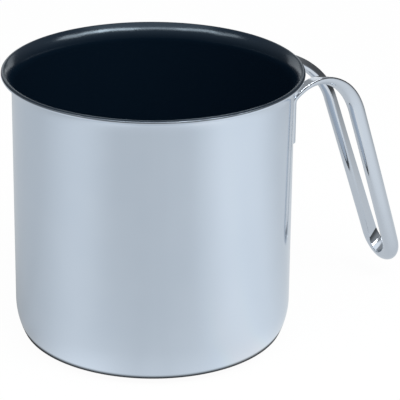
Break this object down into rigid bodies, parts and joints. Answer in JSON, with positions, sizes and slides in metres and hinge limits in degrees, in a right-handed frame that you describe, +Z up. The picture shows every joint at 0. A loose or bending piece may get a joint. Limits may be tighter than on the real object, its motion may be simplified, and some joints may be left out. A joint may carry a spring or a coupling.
{
  "type": "milk pan",
  "caption": "Small deep steel milk pan with a flared pouring rim, a dark lining, a capsule base and a long hanging loop handle.",
  "frame": {"origin": "centre of the flat underside, on the pan's axis", "axes": "+Z up along the pan's axis; +X from the pan's axis towards the handle; +Y across the handle"},
  "size_m": [0.2058, 0.1396, 0.131],
  "materials": {
    "polished_steel": "polished, with a soft satin sheen",
    "nonstick_coating": "satin blue-black non-stick coating",
    "brushed_steel": "satin, with fine turned rings",
    "aluminium": "plain rolled",
    "handle_steel": "polished",
    "weld_metal": "dull, as welded"
  },
  "bodies": {
    "root": {"pan_body": "polished_steel", "nonstick_lining": "nonstick_coating", "base_cap": "brushed_steel", "base_core": "aluminium", "handle_loop": "handle_steel", "weld_nugget_1": "weld_metal", "weld_nugget_2": "weld_metal", "weld_nugget_3": "weld_metal", "weld_nugget_4": "weld_metal"}
  },
  "joints": []
}
